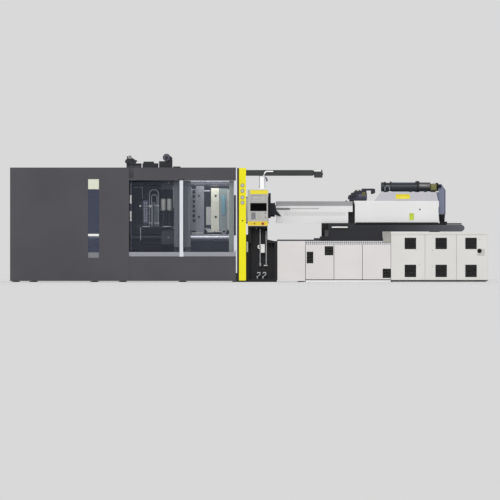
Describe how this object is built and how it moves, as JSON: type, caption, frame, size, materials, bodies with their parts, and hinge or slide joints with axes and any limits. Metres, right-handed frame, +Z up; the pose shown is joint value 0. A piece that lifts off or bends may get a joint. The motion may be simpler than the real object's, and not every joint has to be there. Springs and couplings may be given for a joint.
{
  "type": "injection moulding machine",
  "caption": "Horizontal injection moulding machine with a guarded two-platen clamp and open mould, sliding gates, operator panel, injection unit on rails and electrical cabinet.",
  "frame": {"origin": "under the middle of the machine, on the floor", "axes": "+X along the machine towards the injection unit, -Y towards the operator, +Z up"},
  "size_m": [9.56, 2.13, 2.566],
  "materials": {
    "guard_paint": "dark grey textured paint",
    "light_paint": "light grey paint, satin",
    "cabinet_paint": "light grey paint, satin",
    "white_paint": "white paint, satin",
    "yellow_paint": "bright yellow paint",
    "black_paint": "black textured paint",
    "navy_paint": "very dark blue grey paint",
    "boom_paint": "dark grey paint",
    "hood_paint": "grey paint with a cool tint",
    "column_paint": "blue grey paint",
    "cylinder_paint": "dark slate paint",
    "hydraulic_paint": "dark grey paint with bare fittings",
    "track_aluminium": "extruded aluminium",
    "gate_aluminium": "powder coated profile",
    "platen_cast": "painted casting, machined face",
    "moving_cast": "painted casting, machined face",
    "bar_chrome": "ground and chromed",
    "nut_steel": "hardened steel",
    "mould_light": "ground mould steel, light",
    "mould_grey": "ground mould steel, dark",
    "barrel_steel": "steel, heat tinted",
    "band_steel": "sheet clad heater band",
    "pane_tint": "clear polycarbonate",
    "screen_glass": "dark screen glass",
    "panel_plastic": "moulded grey plastic",
    "stop_red": "red plastic",
    "black_plastic": "black plastic",
    "pad_steel": "galvanised"
  },
  "bodies": {
    "frame": {"clamp_bed": "navy_paint", "levelling_pads": "pad_steel", "fixed_platen": "platen_cast", "tie_bars": "bar_chrome", "traverse_barrels": "hydraulic_paint", "front_clamp_cover": "guard_paint", "rear_clamp_cover": "guard_paint", "end_cover": "guard_paint", "roof_cover": "guard_paint", "roof_hydraulics": "hydraulic_paint", "fixed_windows": "pane_tint", "gate_surround": "guard_paint", "gate_tracks": "track_aluminium", "closing_profiles": "gate_aluminium", "pillars": "black_paint", "pillar_faces": "yellow_paint", "services_block": "black_paint", "water_pipes": "band_steel", "cable_boom": "boom_paint", "panel_post": "white_paint", "purge_guard": "black_paint", "injection_bed": "navy_paint", "service_covers": "light_paint", "tread_strip": "track_aluminium", "cabinet_body": "cabinet_paint", "pump_unit": "column_paint", "mould_fixed_half": "mould_light"},
    "platen": {"moving_platen": "moving_cast", "nut_housings": "hydraulic_paint", "ejector_cylinder": "hydraulic_paint", "platen_hydraulics": "hydraulic_paint", "mould_moving_half": "mould_grey", "traverse_rods": "bar_chrome"},
    "nuts_front": {"lock_nuts_front": "nut_steel"},
    "nuts_rear": {"lock_nuts_rear": "nut_steel"},
    "ejector": {"ejector_rod": "bar_chrome"},
    "gate_front": {"front_gate": "gate_aluminium", "front_gate_pane": "pane_tint"},
    "gate_rear": {"rear_gate": "gate_aluminium", "rear_gate_pane": "guard_paint"},
    "carriage": {"carriage_frame": "navy_paint", "barrel": "barrel_steel", "heater_bands": "band_steel", "barrel_cover": "light_paint", "feed_throat": "black_paint", "drive_housing": "white_paint", "drive_hood": "hood_paint", "top_cylinder": "cylinder_paint", "drive_column": "column_paint"},
    "thrust": {"thrust_block": "hydraulic_paint"},
    "screw_rotor": {"screw": "bar_chrome"},
    "panel": {"panel_housing": "panel_plastic", "panel_screen": "screen_glass"},
    "stop": {"emergency_stop": "stop_red"},
    "start": {"start_button": "black_plastic"},
    "door_1": {"cabinet_door_1": "cabinet_paint"},
    "door_2": {"cabinet_door_2": "cabinet_paint"},
    "door_3": {"cabinet_door_3": "cabinet_paint"},
    "switch": {"main_switch": "black_plastic"},
    "purge_flap": {"purge_door": "black_paint"}
  },
  "joints": [
    {"name": "platen_slide", "type": "slide", "parent": "frame", "child": "platen", "axis": [1, 0, 0], "range_m": [-1.1, 0.14]},
    {"name": "nut_front_slide", "type": "slide", "parent": "platen", "child": "nuts_front", "axis": [0, 1, 0], "range_m": [0, 0.03]},
    {"name": "nut_rear_slide", "type": "slide", "parent": "platen", "child": "nuts_rear", "axis": [0, 1, 0], "range_m": [-0.03, 0]},
    {"name": "ejector_slide", "type": "slide", "parent": "platen", "child": "ejector", "axis": [1, 0, 0], "range_m": [0, 0.11]},
    {"name": "front_gate_slide", "type": "slide", "parent": "frame", "child": "gate_front", "axis": [-1, 0, 0], "range_m": [0, 1]},
    {"name": "rear_gate_slide", "type": "slide", "parent": "frame", "child": "gate_rear", "axis": [-1, 0, 0], "range_m": [0, 1]},
    {"name": "carriage_slide", "type": "slide", "parent": "frame", "child": "carriage", "axis": [1, 0, 0], "range_m": [0, 0.45]},
    {"name": "injection_slide", "type": "slide", "parent": "carriage", "child": "thrust", "axis": [1, 0, 0], "range_m": [0, 0.35]},
    {"name": "screw_spin", "type": "hinge", "parent": "thrust", "child": "screw_rotor", "pos_m": [2.5, 0, 1.44], "axis": [1, 0, 0], "continuous": true},
    {"name": "panel_swivel", "type": "hinge", "parent": "frame", "child": "panel", "pos_m": [0.263, -0.979, 1.9], "axis": [0, 0, 1], "range_deg": [-60, 60]},
    {"name": "stop_press", "type": "slide", "parent": "panel", "child": "stop", "axis": [0, 1, 0], "range_m": [0, 0.006], "stiffness_N_per_m": 600},
    {"name": "start_press", "type": "slide", "parent": "panel", "child": "start", "axis": [0, 1, 0], "range_m": [0, 0.004], "stiffness_N_per_m": 400},
    {"name": "door_1_hinge", "type": "hinge", "parent": "frame", "child": "door_1", "pos_m": [2.851, -0.892, 0.5], "axis": [0, 0, -1], "range_deg": [0, 110]},
    {"name": "door_2_hinge", "type": "hinge", "parent": "frame", "child": "door_2", "pos_m": [3.533, -0.892, 0.5], "axis": [0, 0, -1], "range_deg": [0, 110]},
    {"name": "door_3_hinge", "type": "hinge", "parent": "frame", "child": "door_3", "pos_m": [4.162, -0.892, 0.5], "axis": [0, 0, -1], "range_deg": [0, 110]},
    {"name": "switch_turn", "type": "hinge", "parent": "door_3", "child": "switch", "pos_m": [4.612, -0.9, 0.622], "axis": [0, 1, 0], "range_deg": [0, 90]},
    {"name": "purge_door_hinge", "type": "hinge", "parent": "frame", "child": "purge_flap", "pos_m": [-0.065, -0.35, 1.44], "axis": [0, 0, -1], "range_deg": [0, 75]}
  ],
  "couplings": [
    {"joint": "nut_rear_slide", "follows": "nut_front_slide", "ratio": -1}
  ]
}
